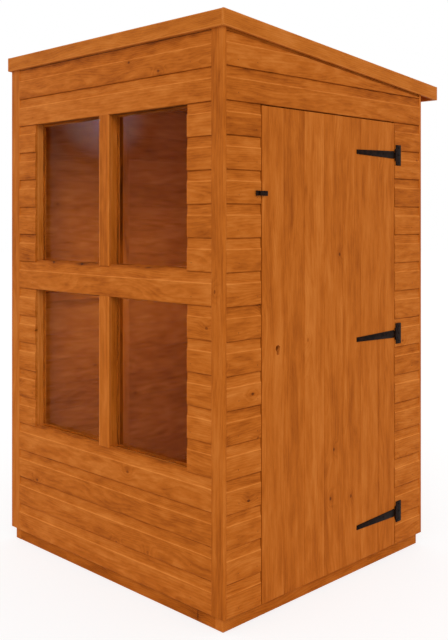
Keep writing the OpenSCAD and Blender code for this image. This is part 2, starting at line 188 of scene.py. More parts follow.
class Piece:
    """Shapes gathered in one mesh. Each vertex keeps its place in its own timber, a tone that the
    whole timber shares, and a wear and shading value: above 0 for arris wear and painted
    highlights, below 0 for gathered stain and painted shade."""

    def __init__(self):
        self.points, self.faces, self.wood, self.tone, self.stain_wear_and_shading = [], [], [], [], []

    def add(self, point, wood, tone, stain_wear_and_shading):
        self.points.append(point)
        self.wood.extend(wood)
        self.tone.append(tone)
        self.stain_wear_and_shading.append(stain_wear_and_shading)

    def prism(self, outline, place, length, end=0.6 * MM, step=45 * MM, wobble=0.15 * MM):
        """Extrudes an outline along the first axis of place, with small chamfers at both ends."""
        start = DRAW.uniform(0, LOG_LENGTH)
        aside = DRAW.uniform(-PITH_ASIDE, PITH_ASIDE)
        pith = aside, DRAW.choice((-1, 1)) * DRAW.uniform(PITH_NEAR, PITH_FAR)
        tone = DRAW.gauss(0, 1)
        parts = max(1, round((length - 2 * end) / step))
        inside = [end + (length - 2 * end) * i / parts for i in range(parts + 1)]
        tip = [(a, t, max(stain_wear_and_shading, END_WEAR)) for a, t, stain_wear_and_shading in shrunk(outline, end)]
        first, count = len(self.points), len(outline)
        stations = [(0, tip), *((s, outline) for s in inside), (length, tip)]
        for s, section in stations:
            sway = noise.noise_vector((start + SWAY_RATE * s, pith[1], 0)) * wobble
            for a, t, stain_wear_and_shading in section:
                self.add(place @ Vector((s, a + sway.x, t + sway.y)),
                         (start + s, a - pith[0], t - pith[1]), tone, stain_wear_and_shading)
        for k in range(len(stations) - 1):
            ring = first + k * count
            for i in range(count):
                j = (i + 1) % count
                self.faces.append((ring + i, ring + j, ring + count + j, ring + count + i))
        last = first + (len(stations) - 1) * count
        self.faces.append(range(first, first + count))
        self.faces.append(range(last, last + count))

    def bevelled(self, node, width):
        """Takes over a CAD node's shape with its sharp edges rounded."""
        mesh = bmesh.new()
        mesh.from_mesh(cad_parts[node].data)
        bmesh.ops.remove_doubles(mesh, verts=mesh.verts, dist=WELD)
        bmesh.ops.dissolve_limit(mesh, angle_limit=FLAT, verts=mesh.verts, edges=mesh.edges)
        edges = [e for e in mesh.edges if e.is_manifold and e.calc_face_angle() > SHARP]
        bmesh.ops.bevel(mesh, geom=edges, offset=width, segments=2, profile=0.5, affect="EDGES",
                        clamp_overlap=True)
        mesh.verts.index_update()
        first = len(self.points)
        for vert in mesh.verts:
            self.add(vert.co.copy(), vert.co, 0, 0)
        self.faces.extend([first + v.index for v in face.verts] for face in mesh.faces)
        mesh.free()

    def build(self, name, body, slot, material, *nodes, cut=None):
        """Makes the object. cut is the height over the front eave of a roof plane that ends it."""
        mesh = bpy.data.meshes.new(name)
        mesh.from_pydata(self.points, [], self.faces)
        for layer, kind, field, values in (("wood", "FLOAT_VECTOR", "vector", self.wood),
                                           ("tone", "FLOAT", "value", self.tone),
                                           ("stain_wear_and_shading", "FLOAT", "value", self.stain_wear_and_shading)):
            mesh.attributes.new(layer, kind, "POINT").data.foreach_set(field, values)
        solid = bmesh.new()
        solid.from_mesh(mesh)
        if cut is not None:
            trim_to_roof(solid, cut)
        bmesh.ops.recalc_face_normals(solid, faces=solid.faces)
        solid.to_mesh(mesh)
        solid.free()
        mesh.shade_smooth()
        mesh.set_sharp_from_angle(angle=SHARP)
        mesh.materials.append(material)
        piece = bpy.data.objects.new(name, mesh)
        bpy.context.scene.collection.objects.link(piece)
        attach(piece, body)
        if nodes:
            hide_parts(*nodes)
        return piece


def trim_to_roof(solid, height):
    """Cuts away what stands above a plane that falls with the roof, and closes the ends."""
    geometry = [*solid.verts, *solid.edges, *solid.faces]
    bmesh.ops.bisect_plane(solid, geom=geometry, dist=WELD, plane_co=(0, Y_EAVE_FRONT, height),
                           plane_no=(0, FALL, 1), clear_outer=True)
    rim = [e for e in solid.edges if e.is_boundary]
    bmesh.ops.holes_fill(solid, edges=rim, sides=0)


def solids(node):
    """The corners of each separate solid of a CAD node, in the order of the solids' boxes."""
    mesh = bmesh.new()
    mesh.from_mesh(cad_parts[node].data)
    bmesh.ops.remove_doubles(mesh, verts=mesh.verts, dist=WELD)
    unseen, found = set(mesh.verts), []
    while unseen:
        stack, part = [unseen.pop()], []
        while stack:
            vert = stack.pop()
            part.append(vert.co.copy())
            for edge in vert.link_edges:
                other = edge.other_vert(vert)
                if other in unseen:
                    unseen.discard(other)
                    stack.append(other)
        found.append(part)
    mesh.free()
    return sorted(found, key=lambda part: [round(c, 4) for corner in span(part) for c in corner])


def span(part, leaning=False):
    """The box round a solid's corners. leaning takes the roof's fall out of the heights first."""
    points = part
    if leaning:
        points = [Vector((p.x, p.y, p.z + FALL * (p.y - Y_EAVE_FRONT))) for p in part]
    return [Vector(pick(p[i] for p in points) for i in range(3)) for pick in (min, max)]


def leans(part):
    """Whether a solid lies along the roof's fall, top and bottom."""
    (_, _, z0), (_, _, z1) = span(part)
    (_, _, l0), (_, _, l1) = span(part, leaning=True)
    return l1 - l0 < z1 - z0 - CLOSE


def timber(piece, part, arris, worn=1.0, foot=0.0):
    """Rebuilds one CAD solid as a sawn timber with its grain along the longest side. foot is
    painted shade, added to the side that faces down, or to the front where the timber stands."""
    leaning = leans(part)
    lo, hi = span(part, leaning)
    size = hi - lo
    y_axis = SLOPE if leaning else Y
    if leaning:
        lo.z = under(lo.z, lo.y)
    grain = max(range(3), key=lambda i: size[i])
    across, through = [i for i in range(3) if i != grain]
    directions = (X, y_axis, Z)
    place = axes(directions[grain], directions[across], directions[through], lo)
    # foot paints shade on the side at t = 0.
    outline = [(a, t, stain_wear_and_shading if t > CLOSE else stain_wear_and_shading + foot)
               for a, t, stain_wear_and_shading in rounded(size[across], size[through], arris, worn=worn)]
    piece.prism(outline, place, size[grain])


def timbers(name, nodes, material, arris=1.5 * MM, cut=None, slot="framing", worn=1.0, foot=0.0):
    """One piece of sawn timbers for the CAD nodes that it replaces."""
    piece = Piece()
    for node in nodes:
        for part in solids(node):
            timber(piece, part, arris, worn, foot)
    piece.build(name, "shed", slot, material, *nodes, cut=cut)


# ---- Materials ----

class Nodes:
    """A material's node tree, with short ways to add and join its nodes."""

    def __init__(self, name):
        self.material = bpy.data.materials.new(name)
        self.material.use_nodes = True
        self.tree = self.material.node_tree
        self.shader = self.tree.nodes["Principled BSDF"]

    def set(self, node, **inputs):
        """Gives inputs, named or as i0, i1 and so on, a value or the output of another node."""
        for key, value in inputs.items():
            socket = node.inputs[int(key[1:]) if key[1:].isdigit() else key.replace("_", " ")]
            if isinstance(value, bpy.types.NodeSocket):
                self.tree.links.new(value, socket)
            else:
                socket.default_value = value
        return node

    def add(self, kind, settings=None, **inputs):
        node = self.tree.nodes.new("ShaderNode" + kind)
        for key, value in (settings or {}).items():
            setattr(node, key, value)
        return self.set(node, **inputs)

    def attribute(self, name):
        return self.add("Attribute", {"attribute_name": name})

    def math(self, operation, a, b=0.0, c=0.0):
        return self.add("Math", {"operation": operation}, i0=a, i1=b, i2=c).outputs[0]

    def scaled(self, vector, scale):
        return self.add("VectorMath", {"operation": "MULTIPLY"}, i0=vector, i1=scale).outputs[0]

    def noise(self, vector, detail=2.0, rough=0.5):
        node = self.add("TexNoise", Vector=vector, Scale=1.0, Detail=detail, Roughness=rough)
        return node.outputs["Fac"]

    def ramp(self, value, stops):
        node = self.add("ValToRGB", Fac=value)
        band = node.color_ramp.elements
        while len(band) < len(stops):
            band.new(1)
        for element, (position, colour) in zip(band, stops):
            element.position = position
            element.color = (*colour, 1)
        return node.outputs["Color"]

    def between(self, value, a, b, c, d):
        """Maps a..b to c..d, held at both ends."""
        node = self.add("MapRange", {"interpolation_type": "SMOOTHSTEP"}, Value=value)
        for socket, limit in zip(node.inputs[1:5], (a, b, c, d)):
            socket.default_value = limit
        return node.outputs[0]

    def bump(self, height, distance, strength):
        bump = self.add("Bump", Height=height, Distance=distance, Strength=strength)
        return bump.outputs[0]


RINGS_PER_METRE = 150


def bent_grain(m):
    """Each point's place in its own timber, bent so that no line of the grain runs straight."""
    straight = m.attribute("wood").outputs["Vector"]
    drift = m.noise(m.scaled(straight, (2.4, 7, 7)), detail=1.0)
    sway = m.math("MULTIPLY_ADD", drift, 0.05, -0.025)
    bend = m.add("CombineXYZ", X=0.0, Y=sway, Z=sway).outputs[0]
    return m.add("VectorMath", {"operation": "ADD"}, i0=straight, i1=bend).outputs[0]


def scattered_knots(m, wood, clear):
    """Masks of a few knots and of the swirl round each. clear is the share of spots without one."""
    cells = m.add("TexVoronoi", {"voronoi_dimensions": "2D"}, Vector=m.scaled(wood, (1, 1.3, 1)),
                  Scale=5.5)
    pick = m.add("SeparateColor", Color=cells.outputs["Color"]).outputs[0]
    chosen = m.math("GREATER_THAN", pick, clear)
    grit = m.noise(m.scaled(wood, (160, 160, 160)))
    ragged = m.math("MULTIPLY_ADD", grit, 0.022, cells.outputs["Distance"])
    knot = m.math("MULTIPLY", m.between(ragged, 0.040, 0.058, 1, 0), chosen)
    halo = m.math("MULTIPLY", m.between(ragged, 0.03, 0.30, 1, 0), chosen)
    return knot, halo


def growth_rings(m, wood, halo):
    """Rings round the pith, each a slow rise to dense wood and a sudden end, bent by the knots."""
    section = m.add("VectorMath", {"operation": "LENGTH"}, i0=m.scaled(wood, (0, 1, 1)))
    drift = m.noise(m.scaled(wood, (1.3, 9, 9)), detail=1.0)
    ripple = m.noise(m.scaled(wood, (9, 40, 40)))
    radius = m.math("MULTIPLY_ADD", drift, 0.045, section.outputs["Value"])
    radius = m.math("MULTIPLY_ADD", ripple, 0.006, radius)
    radius = m.math("MULTIPLY_ADD", halo, 0.012, radius)
    phase = m.math("FRACT", m.math("MULTIPLY", radius, RINGS_PER_METRE))
    return m.math("SUBTRACT", m.between(phase, 0.1, 0.86, 0, 1), m.between(phase, 0.88, 1, 0, 1))


def wood_material(name, shades, streaks, figure, rough=0.58, sawn=0.0, clear=0.86):
    """Dip-stained softwood. shades are its dark, middle and pale stain. streaks is how many fit in
    a metre along and across the grain, and their strength."""
    m = Nodes(name)
    wood = bent_grain(m)
    knot, halo = scattered_knots(m, wood, clear)
    rings = growth_rings(m, wood, halo)
    tone = m.attribute("tone").outputs["Fac"]
    stain_wear_and_shading = m.attribute("stain_wear_and_shading").outputs["Fac"]
    along, across, strength = streaks
    blotch = m.noise(m.scaled(wood, (8, 38, 38)), detail=3.0, rough=0.62)
    cloud = m.noise(m.scaled(wood, (2.2, 9, 9)), detail=1.0)
    streak = m.noise(m.scaled(wood, (along, across, across)), rough=0.6)
    fibre = m.noise(m.scaled(wood, (45, 1300, 1300)), detail=1.0)
    pores = m.noise(m.scaled(wood, (14, 420, 420)))

    # The shade is a sum of layers, the first ones counted from their middle value.
    value = m.math("MULTIPLY_ADD", blotch, 0.66 * figure, 0.5 - 0.33 * figure)
    for layer, middle, weight in ((cloud, 0.5, 0.45 * figure), (streak, 0.5, strength),
                                  (rings, 0.45, -0.11 * figure), (pores, 0.5, 0.26),
                                  (fibre, 0.5, 0.20)):
        value = m.math("MULTIPLY_ADD", m.math("SUBTRACT", layer, middle), weight, value)
    # The wear and shading layer adds arris wear, gathered stain, painted highlights and painted
    # shade.
    for layer, weight in ((tone, 0.035), (stain_wear_and_shading, 0.16), (halo, -0.10), (knot, -0.26)):
        value = m.math("MULTIPLY_ADD", layer, weight, value)
    colour = m.ramp(value, ((0.0, DARKEST_STAIN_AND_SHADE), (0.24, shades[0]), (0.5, shades[1]), (1.0, shades[2])))

    fine = m.math("ADD", fibre, pores)
    height = m.math("MULTIPLY_ADD", fine, 0.4, m.math("MULTIPLY", rings, -0.5))
    if sawn:
        saw = m.noise(m.scaled(wood, (900, 60, 60)), detail=1.0)
        height = m.math("MULTIPLY_ADD", saw, sawn, height)
    smooth = m.math("MULTIPLY_ADD", knot, -0.12, rough - 0.1)
    roughness = m.math("MULTIPLY_ADD", pores, 0.22, smooth)
    m.set(m.shader, Base_Color=colour, Roughness=roughness, Normal=m.bump(height, 0.35 * MM, 0.7))
    m.set(m.shader, Specular_IOR_Level=0.05)
    return m.material


def metal_material(name, colour, worn, rough=0.42, metallic=0.0):
    """Painted or plated ironwork with a fine orange peel and worn specks."""
    m = Nodes(name)
    place = m.attribute("wood").outputs["Vector"]
    peel = m.noise(m.scaled(place, (700, 700, 700)))
    patch = m.noise(m.scaled(place, (60, 60, 60)), detail=3.0)
    speck = m.between(m.noise(m.scaled(place, (260, 260, 260)), detail=3.0), 0.66, 0.74, 0, 1)
    base = m.ramp(patch, ((0.35, [0.5 * c for c in colour]), (0.65, [1.8 * c for c in colour])))
    share = m.math("MULTIPLY", speck, 0.5)
    mix = m.add("Mix", {"data_type": "RGBA"}, i0=share, i6=base, i7=(*worn, 1))
    roughness = m.math("MULTIPLY_ADD", patch, 0.24, rough - 0.12)
    m.set(m.shader, Base_Color=mix.outputs[2], Roughness=roughness)
    m.set(m.shader, Normal=m.bump(peel, 0.08 * MM, 0.6), Metallic=metallic, Specular_IOR_Level=0.04)
    return m.material


def felt_material():
    """Mineral felt: slate chips of several shades bedded in bitumen."""
    m = Nodes("mineral_felt")
    place = m.attribute("wood").outputs["Vector"]
    chips = m.add("TexVoronoi", Vector=m.scaled(place, (620, 620, 620)), Scale=1.0)
    shade = m.add("SeparateColor", Color=chips.outputs["Color"]).outputs[0]
    cloud = m.noise(m.scaled(place, (7, 7, 7)), detail=4.0)
    value = m.math("MULTIPLY_ADD", cloud, 0.5, m.math("MULTIPLY", shade, 0.55))
    colour = m.ramp(value, ((0.15, (0.018, 0.021, 0.020)), (0.5, (0.055, 0.064, 0.060)),
                            (0.9, (0.150, 0.165, 0.155))))
    height = m.math("SUBTRACT", shade, chips.outputs["Distance"])
    m.set(m.shader, Base_Color=colour, Roughness=0.93, Normal=m.bump(height, 0.6 * MM, 0.9))
    m.set(m.shader, Specular_IOR_Level=0.2)
    return m.material


def glass_material():
    """Clear 4 mm pane with very slight waves and a breath of dust."""
    m = Nodes("clear_glass")
    place = m.add("TexCoord").outputs["Object"]
    wave = m.noise(m.scaled(place, (3, 3, 3)), detail=1.0)
    dust = m.noise(m.scaled(place, (24, 24, 24)), detail=4.0)
    roughness = m.between(dust, 0.5, 0.9, 0.0, 0.05)
    m.set(m.shader, Base_Color=(0.97, 0.975, 0.97, 1), Roughness=roughness)
    m.set(m.shader, Normal=m.bump(wave, 0.4 * MM, 0.2), IOR=1.08, Transmission_Weight=1.0)
    return m.material


# The darkest end of the stain ramp. The painted shade of the slots, top strips and bead faces
# reaches it, and dark joints come near it.
DARKEST_STAIN_AND_SHADE = (0.080, 0.016, 0.0015)
STAIN = ((0.350, 0.077, 0.0045), (0.520, 0.132, 0.0115), (0.735, 0.240, 0.042))
FRESH_STAIN = ((0.375, 0.088, 0.0070), (0.560, 0.155, 0.0160), (0.780, 0.275, 0.060))
ROUGH_STAIN = ((0.300, 0.065, 0.0035), (0.480, 0.118, 0.0090), (0.680, 0.205, 0.030))
CLADDING = wood_material("stained_cladding", STAIN, (12, 42, 0.55), figure=0.9)
STAINED = wood_material("stained_joinery", STAIN, (2.8, 30, 0.62), figure=0.75, clear=0.93)
FRESH = wood_material("fresh_stained_joinery", FRESH_STAIN, (2.8, 30, 0.35), figure=0.8)
FRAMING = wood_material("sawn_framing", ROUGH_STAIN, (2.8, 30, 0.2), figure=1.15, rough=0.68,
                        sawn=0.8)
BLACK = metal_material("black_japan", (0.0100, 0.0040, 0.0022), (0.055, 0.030, 0.020))
NAIL = metal_material("stained_nail", (0.270, 0.066, 0.010), (0.300, 0.130, 0.060), rough=0.5,
                      metallic=0.1)
ZINC = metal_material("dull_zinc", (0.300, 0.300, 0.295), (0.420, 0.420, 0.410), rough=0.5,
                      metallic=0.9)
FELT = felt_material()
GLASS = glass_material()


# ---- Cladding ----

LIP = 0.66 * COVER
COVE = 17 * MM
NECK = 3.4 * MM
SLOT = 3.6 * MM
TONGUE = 6.5 * MM
REBATE = 6.2 * MM
LAP = 7 * MM
LAP_ROOM = 8 * MM
SHADOW_GAP = 9 * MM
BOARD_END = 0.3 * MM
STRIP_ARRIS = 0.5 * MM


def shiplap():
    """One board's section: face, lip, hollow cove, neck and tongue, and the rebate at its foot.
    Each point is its height up the board, its depth behind the face, and its wear and shading:
    painted shade on the lower arris, a painted highlight along the lip that fades down the cove,
    and painted shade in the slot, on the tongue and in the rebate."""
    # Painted shade on the board's lower arris, then a painted highlight along the lip.
    points = [(0, 0.9 * MM, -1), (0.3 * MM, 0.3 * MM, -0.4), (0.9 * MM, 0, -0.1), (5 * MM, 0, 0),
              (LIP - 2.5 * MM, 0, 0.3), (LIP, 0, 2.6), (LIP + 0.5 * MM, 0.4 * MM, 2.9)]
    for angle in range(20, 91, 14):
        turn = math.radians(angle)
        # A painted highlight that fades from the lip down the cove.
        worn = max(0.2, 3.4 - angle / 12)
        points.append((LIP + COVE * (1 - math.cos(turn)), NECK * math.sin(turn), worn))
    # Painted shade in the slot under the next board, on the tongue and in the rebate.
    points += [(COVER - SLOT - 3 * MM, NECK, -0.2), (COVER - SLOT, NECK, -0.9),
               (COVER + 0.5 * MM, TONGUE, -1.3), (COVER + LAP, TONGUE, -1.6),
               (COVER + LAP, CLAD, 0), (COVER, CLAD, 0), (LAP_ROOM + 6 * MM, CLAD, 0),
               (LAP_ROOM, CLAD, 0), (LAP_ROOM, REBATE, -1.6), (0, REBATE, -1.6)]
    return points[::-1]


SHIPLAP = shiplap()
FRONT_WALL = axes(X, Z, Y, (0, Y_FRONT, 0))
BACK_WALL = axes(X, Z, -Y, (0, Y_BACK, 0))
RIGHT_WALL = axes(Y, Z, -X, (X_OUT, 0, 0))
LEFT_WALL = axes(Y, Z, X, (-X_OUT, 0, 0))


def course(piece, wall, row, start, stop, outline=SHIPLAP):
    """One shiplap board of a wall."""
    place = wall @ Matrix.Translation((start, SKIRT + row * COVER, 0))
    piece.prism(outline, place, stop - start, end=BOARD_END)


def front_cladding():
    """The front wall's boards. The top one has no tongue, and a strip, painted dark as shade under
    the fascia, carries its neck up to the roof."""
    piece = Piece()
    top_board = [(a, NECK if a > COVER - SLOT - MM and t < CLAD else t, max(stain_wear_and_shading, -0.6))
                 for a, t, stain_wear_and_shading in SHIPLAP]
    for row in range(TOP_ROW):
        if SILL_ROW <= row < BAND_ROW or BAND_ROW < row < HEAD_ROW:
            course(piece, FRONT_WALL, row, -TRIM_X, -WINDOW_X)
            course(piece, FRONT_WALL, row, WINDOW_X, TRIM_X)
        else:
            outline = top_board if row == TOP_ROW - 1 else SHIPLAP
            course(piece, FRONT_WALL, row, -TRIM_X, TRIM_X, outline)
    top_of_boards = SKIRT + TOP_ROW * COVER + LAP
    height = under(WALL_TOP, Y_FRONT_CLAD) - top_of_boards
    # worn=-5 paints the whole strip dark: painted shade under the front fascia.
    strip = rounded(height, CLAD - NECK, STRIP_ARRIS, worn=-5)
    piece.prism(strip, FRONT_WALL @ Matrix.Translation((-TRIM_X, top_of_boards, NECK)), 2 * TRIM_X)
    piece.build("front_cladding_boards", "shed", "timber", CLADDING, "front_cladding_lower",
                "front_cladding_sides", "front_cladding_band", "front_cladding_upper")


def side_cladding(name, wall, spans, nodes):
    """The boards of a side wall, ending in a shadow gap under the sloping fascia."""
    piece = Piece()
    for first, last, start, stop in spans:
        for row in range(first, last):
            course(piece, wall, row, start, stop)
    piece.build(name, "shed", "timber", CLADDING, *nodes, cut=FASCIA_LOW - SHADOW_GAP)


def top_strip(name, side):
    """The recessed board that closes a side wall behind its fascia, painted dark as shade under it.
    """
    piece = Piece()
    bottom = FASCIA_LOW - SHADOW_GAP
    origin = (side * X_CLAD, Y_FRONT_CLAD, under(bottom, Y_FRONT_CLAD))
    # worn=-3 paints shade over the strip, under the fascia.
    strip = rounded(WALL_TOP - bottom, CLAD - TONGUE, STRIP_ARRIS, worn=-3)
    piece.prism(strip, axes(SLOPE, Z, X * side, origin), Y_BACK_CLAD - Y_FRONT_CLAD)
    piece.build(name, "shed", "timber", CLADDING)


def back_cladding():
    """The back wall's boards, between the corner trims."""
    piece = Piece()
    for row in range(TOP_ROW + 1):
        course(piece, BACK_WALL, row, -TRIM_X, TRIM_X)
    piece.build("back_cladding_boards", "shed", "timber", CLADDING, "back_cladding", cut=WALL_TOP)


def make_cladding():
    front_cladding()
    side_cladding("right_cladding_boards", RIGHT_WALL, (
        (0, HEAD_ROW, Y_FRONT_CLAD, DOOR_Y0),
        (0, HEAD_ROW, DOOR_Y1, Y_BACK_CLAD),
        (HEAD_ROW, TOP_ROW + 1, Y_FRONT_CLAD, Y_BACK_CLAD),
    ), ("right_cladding_front", "right_cladding_back", "right_cladding_head"))
    side_cladding("left_cladding_boards", LEFT_WALL,
                  ((0, TOP_ROW + 1, Y_FRONT_CLAD, Y_BACK_CLAD),), ("left_cladding",))
    top_strip("right_top_strip", 1)
    top_strip("left_top_strip", -1)
    back_cladding()


# ---- Framing, trims and windows ----

def make_framing():
    """The walls' frames and the other sawn timbers. In the front and left walls, painted shade
    darkens the sides that face the front or down."""
    # foot is the painted shade on the sides that face the front or down.
    for wall, foot in (("front", -2.5), ("right", 0), ("left", -1.7), ("back", 0)):
        timbers(f"{wall}_wall_frame", (f"{wall}_studs", f"{wall}_rails"),
                FRESH if wall == "front" else FRAMING, cut=WALL_TOP, foot=foot)
    timbers("purlins", ("roof_purlins",), FRAMING)
    timbers("door_stop_strips", ("door_stops",), FRAMING)
    timbers("joists", ("floor_joists",), FRAMING, slot="timber")
    timbers("rims", ("floor_rims",), FRAMING, slot="timber")


def make_trims():
    """Planed boards that close the corners of the walls."""
    for end in ("front", "back"):
        timbers(f"{end}_corner_trims", (f"{end}_trims",), STAINED, arris=1.2 * MM, cut=WALL_TOP,
                slot="timber", worn=0.4)


def make_mullions():
    """A planed cover strip, with a painted highlight along its left arris, on the post between two
    panes.
    """
    inset = 0.15 * MM
    piece = Piece()
    for part in solids("window_mullions"):
        lo, hi = span(part)
        width, height = hi.x - lo.x, hi.z - lo.z
        place = axes(Z, X, Y, lo)
        # The left arris gets three times the wear, as a painted highlight; the whole strip is a
        # little darker.
        strip = [(a, t, stain_wear_and_shading * (3 if a < width / 2 else 1) - 0.4)
                 for a, t, stain_wear_and_shading in rounded(width, CLAD, 3.5 * MM, turns=3)]
        piece.prism(strip, place, height)
        behind = place @ Matrix.Translation((0, inset, CLAD))
        piece.prism(rounded(width - 2 * inset, hi.y - lo.y - CLAD, 1 * MM), behind, height)
    piece.build("mullion_posts", "shed", "timber", STAINED, "window_mullions")


def make_beads():
    """Four planed beads, butted in a ring, behind each pane, with painted shade on the face against
    it.
    """
    piece = Piece()
    for part in solids("glazing_beads"):
        lo, hi = span(part)
        width = sorted({round(p.x, 5) for p in part})[1] - lo.x
        # Painted shade on the face against the pane.
        outline = [(a, t, -1.8 if t < 2 * MM else stain_wear_and_shading)
                   for a, t, stain_wear_and_shading in rounded(width, hi.y - lo.y, 1.2 * MM)]
        for z in (lo.z, hi.z - width):
            piece.prism(outline, axes(X, Z, Y, (lo.x, lo.y, z)), hi.x - lo.x)
        for x in (lo.x, hi.x - width):
            piece.prism(outline, axes(Z, X, Y, (x, lo.y, lo.z + width)), hi.z - lo.z - 2 * width)
    piece.build("glazing_bead_strips", "shed", "timber", STAINED, "glazing_beads")


def make_glass():
    """Gives the CAD panes their material."""
    for pane in ("lower_left_glass", "lower_right_glass", "upper_left_glass", "upper_right_glass"):
        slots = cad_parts[pane].data.materials
        slots.clear()
        slots.append(GLASS)


# ---- Floor and roof ----

FLOOR_COUNT = 12
ROOF_COUNT = 12
TONGUE_FROM, TONGUE_TO = 0.4, 0.65
TONGUE_REACH = 4 * MM
TONGUE_SLACK = 0.25 * MM


def matched(width, depth, vee):
    """A tongued and grooved board's section, with V-jointed arrises on its face at through = 0."""
    t0, t1 = TONGUE_FROM * depth, TONGUE_TO * depth
    side = width - TONGUE_SLACK
    tip = side + TONGUE_REACH
    groove = TONGUE_REACH + TONGUE_SLACK
    return [
        (vee, 0, -0.3), (TONGUE_REACH, 0, 0), (width - TONGUE_REACH, 0, 0), (width - vee, 0, -0.3),
        (side, vee, -1.4), (side, t0 + TONGUE_SLACK, -1), (tip, t0 + TONGUE_SLACK, -1),
        (tip, t1 - TONGUE_SLACK, -1), (side, t1 - TONGUE_SLACK, -1), (side, depth, -1),
        (0, depth, -1), (0, t1, -1), (groove, t1, -1), (groove, t0, -1), (0, t0, -1),
        (0, vee, -1.4),
    ]


def edge_board(outline, width, depth, first, last):
    """Leaves out the groove of the first board and the tongue of the last."""
    kept = []
    for a, t, stain_wear_and_shading in outline:
        joint = TONGUE_FROM * depth <= t <= TONGUE_TO * depth
        outer = (first and a < width / 2) or (last and a > width / 2)
        if not (joint and outer):
            kept.append((a, t, stain_wear_and_shading))
    return kept


def matched_boards(piece, place, total, depth, count, length, vee):
    """Boards side by side across a span."""
    width = total / count
    outline = matched(width, depth, vee)
    for i in range(count):
        section = edge_board(outline, width, depth, i == 0, i == count - 1)
        piece.prism(section, place @ Matrix.Translation((0, i * width, 0)), length)


def make_floor():
    lo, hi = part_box("floor_boards")
    piece = Piece()
    place = axes(Y, X, -Z, (lo.x, lo.y, hi.z))
    matched_boards(piece, place, hi.x - lo.x, hi.z - lo.z, FLOOR_COUNT, hi.y - lo.y, 0.6 * MM)
    piece.build("floor_board_strips", "shed", "timber", FRAMING, "floor_boards")


def make_roof_boards():
    lo, hi = span(solids("roof_boards")[0], leaning=True)
    piece = Piece()
    place = axes(SLOPE, X, Z, (lo.x, lo.y, under(lo.z, lo.y)))
    matched_boards(piece, place, hi.x - lo.x, hi.z - lo.z, ROOF_COUNT, hi.y - lo.y, 1.6 * MM)
    piece.build("roof_board_strips", "shed", "timber", STAINED, "roof_boards")


FELT_T = 0.8 * MM
FELT_CELL = 14 * MM
FELT_INSET = 0.5 * MM
LAP_SHARE = 0.42
LAP_WIDTH = 75 * MM
LOWER_SHEET, UPPER_SHEET = 0.4 * MM, 1.6 * MM
CLOUT_R = 5 * MM
CLOUT_HEAD = 0.5 * MM
CLOUT_MARGIN = 22 * MM
CLOUT_PITCH = 95 * MM


def felt_strip(piece, x0, x1, y0, y1, bottom):
    """A strip of felt laid across the roof, a little uneven all over."""
    cells = round((x1 - x0) / FELT_CELL)
    xs = [(x1 - x0) * i / cells for i in range(cells + 1)]
    outline = [(x, 0, 0) for x in xs] + [(x, FELT_T, 0) for x in reversed(xs)]
    first = len(piece.points)
    place = axes(SLOPE, X, Z, (x0, y0, under(bottom, y0)))
    piece.prism(outline, place, y1 - y0, end=0.3 * MM, step=FELT_CELL, wobble=0)
    for p in piece.points[first:]:
        swell = 0.28 * MM * noise.noise((p.x * 30, p.y * 30, 0))
        ripple = 0.12 * MM * noise.noise(p * 190)
        p.z += swell + ripple


def make_felt():
    """Two strips of felt. The front one laps over the back one."""
    lo, hi = span(solids("roof_felt")[0], leaning=True)
    lap_y = lo.y + LAP_SHARE * (hi.y - lo.y)
    x0, x1 = lo.x + FELT_INSET, hi.x - FELT_INSET
    piece = Piece()
    felt_strip(piece, x0, x1, lap_y - LAP_WIDTH, hi.y - FELT_INSET, lo.z + LOWER_SHEET)
    felt_strip(piece, x0, x1, lo.y + FELT_INSET, lap_y, lo.z + UPPER_SHEET)
    piece.build("felt_strips", "shed", "felt", FELT, "roof_felt")
    clouts(lo, hi, lap_y)


def clouts(lo, hi, lap_y):
    """Clout nails round the edges of the felt and along its lap."""
    piece = Piece()
    outline = circle(CLOUT_R, 14)
    x0, y0 = lo.x + CLOUT_MARGIN, lo.y + CLOUT_MARGIN
    wide, deep = hi.x - lo.x - 2 * CLOUT_MARGIN, hi.y - lo.y - 2 * CLOUT_MARGIN

    def head(x, y):
        top = lo.z + FELT_T + (LOWER_SHEET if y > lap_y else UPPER_SHEET)
        place = axes(Z, X, SLOPE, (x, y, under(top, y)))
        piece.prism(outline, place, CLOUT_HEAD, end=CLOUT_HEAD / 2, wobble=0)

    columns = round(wide / CLOUT_PITCH)
    for i in range(columns + 1):
        for y in (y0, lap_y - CLOUT_MARGIN, hi.y - CLOUT_MARGIN):
            head(x0 + wide * i / columns, y)
    rows = round(deep / CLOUT_PITCH)
    for i in range(1, rows):
        for x in (x0, hi.x - CLOUT_MARGIN):
            head(x, y0 + deep * i / rows)
    piece.build("clout_nails", "shed", "black_metal", ZINC)


def make_fascias():
    """The boards round the edge of the roof."""
    for side in ("front", "back"):
        timbers(f"{side}_fascia_board", (f"{side}_fascia",), FRESH, arris=2 * MM, slot="timber")
    timbers("side_fascia_boards", ("side_fascias",), FRESH, arris=2 * MM, slot="timber")


# ---- Door ----

DOOR_COUNT = 7
LEDGE_CHAMFER = 5 * MM
KEYHOLE_R = 12 * MM
KEYHOLE_FOOT = 6 * MM
KEYHOLE_DROP = 22 * MM
KEYHOLE_EDGE = 83 * MM
KEYHOLE_RISE = 13 * MM

# The arc of the keyhole's round eye, in degrees, and its number of steps.
EYE_FROM, EYE_SWEEP, EYE_STEPS = -50, 280, 14


